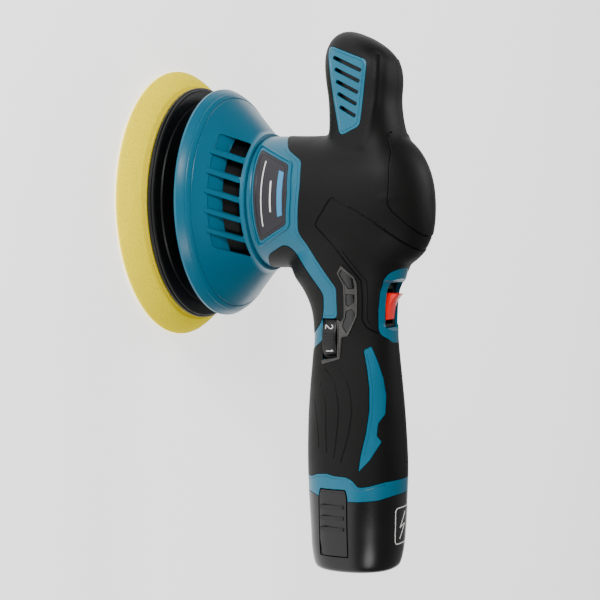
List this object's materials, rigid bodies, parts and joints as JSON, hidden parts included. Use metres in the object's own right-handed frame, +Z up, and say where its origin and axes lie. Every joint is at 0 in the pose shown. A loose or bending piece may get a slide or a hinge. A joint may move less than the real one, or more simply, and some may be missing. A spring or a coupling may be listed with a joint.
{
  "type": "dual action polisher",
  "caption": "Cordless dual action polisher: a round foam pad on an eccentric drive under a vented shroud, a front horn grip, a rear handle and a slide-in battery.",
  "frame": {"origin": "where the motor's axis meets the foam pad's working face", "axes": "+Z up the motor's axis away from the work, +X along the handle to the battery, -X to the front horn, -Y is the tool's left side"},
  "size_m": [0.3324, 0.17, 0.1746],
  "materials": {
    "teal_abs": "satin moulded ABS",
    "soft_grip": "matt thermoplastic rubber",
    "black_nylon": "fine spark-eroded nylon",
    "battery_plastic": "semi-gloss moulded plastic",
    "dark_label": "satin printed polyester",
    "grey_plastic": "satin moulded plastic",
    "smoked_lens": "polished smoked acrylic",
    "red_plastic": "glossy moulded plastic",
    "yellow_foam": "open-cell polyurethane foam",
    "loop_cloth": "brushed loop cloth",
    "plated_steel": "zinc-plated",
    "bearing_steel": "polished",
    "brass": "turned",
    "cast_iron": "cast, left rough",
    "copper_winding": "enamelled copper wire on a steel core",
    "green_board": "solder-masked glass-epoxy board",
    "blue_sleeve": "heat-shrunk PVC sleeve"
  },
  "bodies": {
    "tool_body": {"battery_collar": "teal_abs", "contact_blade_1": "brass", "contact_blade_2": "brass", "contact_block": "black_nylon", "control_board": "green_board", "control_frame": "grey_plastic", "gauge_lens_lower": "smoked_lens", "gauge_lens_middle": "smoked_lens", "gauge_lens_upper": "smoked_lens", "grip_left": "soft_grip", "grip_right": "soft_grip", "horn_grille_left": "teal_abs", "horn_grille_right": "teal_abs", "housing_left": "teal_abs", "housing_right": "teal_abs", "housing_screw_1": "plated_steel", "housing_screw_2": "plated_steel", "housing_screw_3": "plated_steel", "housing_screw_4": "plated_steel", "housing_screw_5": "plated_steel", "label_left": "dark_label", "label_right": "dark_label", "motor_can": "plated_steel", "motor_end_cap": "black_nylon", "motor_plate": "plated_steel", "motor_screw_1": "plated_steel", "motor_screw_2": "plated_steel", "neck_grip": "soft_grip", "potentiometer": "plated_steel", "shroud": "teal_abs", "shroud_screw_1": "plated_steel", "shroud_screw_2": "plated_steel", "shroud_screw_3": "plated_steel", "switch_bezel": "teal_abs", "switch_body": "black_nylon", "switch_terminal_1": "brass", "switch_terminal_2": "brass"},
    "drive": {"motor_shaft": "bearing_steel", "armature": "copper_winding", "cooling_fan": "black_nylon", "counterweight": "cast_iron", "grub_screw": "plated_steel", "bearing_outer": "bearing_steel", "bearing_balls": "bearing_steel"},
    "pad": {"foam_pad": "yellow_foam", "loop_disc": "loop_cloth", "backing_plate": "black_nylon", "pad_spindle": "plated_steel", "pad_bolt": "plated_steel", "bearing_inner": "bearing_steel"},
    "battery": {"battery_stem": "battery_plastic", "battery_cup": "battery_plastic", "battery_board": "green_board", "cell_1": "blue_sleeve", "cell_2": "blue_sleeve", "cell_3": "blue_sleeve"},
    "latch": {"battery_latch": "battery_plastic"},
    "rocker": {"switch_rocker": "red_plastic"},
    "dial": {"speed_dial": "black_nylon"}
  },
  "joints": [
    {"name": "drive_spin", "type": "hinge", "parent": "tool_body", "child": "drive", "pos_m": [0, 0, 0.05], "axis": [0, 0, 1], "continuous": true},
    {"name": "pad_spin", "type": "hinge", "parent": "drive", "child": "pad", "pos_m": [0, 0.004, 0.038], "axis": [0, 0, 1], "continuous": true},
    {"name": "switch_rock", "type": "hinge", "parent": "tool_body", "child": "rocker", "pos_m": [0.065, 0, 0.143], "axis": [0, -1, 0], "range_deg": [0, 14]},
    {"name": "dial_turn", "type": "hinge", "parent": "tool_body", "child": "dial", "pos_m": [0.084, -0.0048, 0.1164], "axis": [0, 0, 1], "range_deg": [-30, 240]},
    {"name": "battery_slide", "type": "slide", "parent": "tool_body", "child": "battery", "axis": [1, 0, 0], "range_m": [0, 0.062]},
    {"name": "latch_flex", "type": "hinge", "parent": "battery", "child": "latch", "pos_m": [0.216, -0.0255, 0.1206], "axis": [0, 0, -1], "range_deg": [0, 3], "stiffness_Nm_per_rad": 1.5}
  ]
}
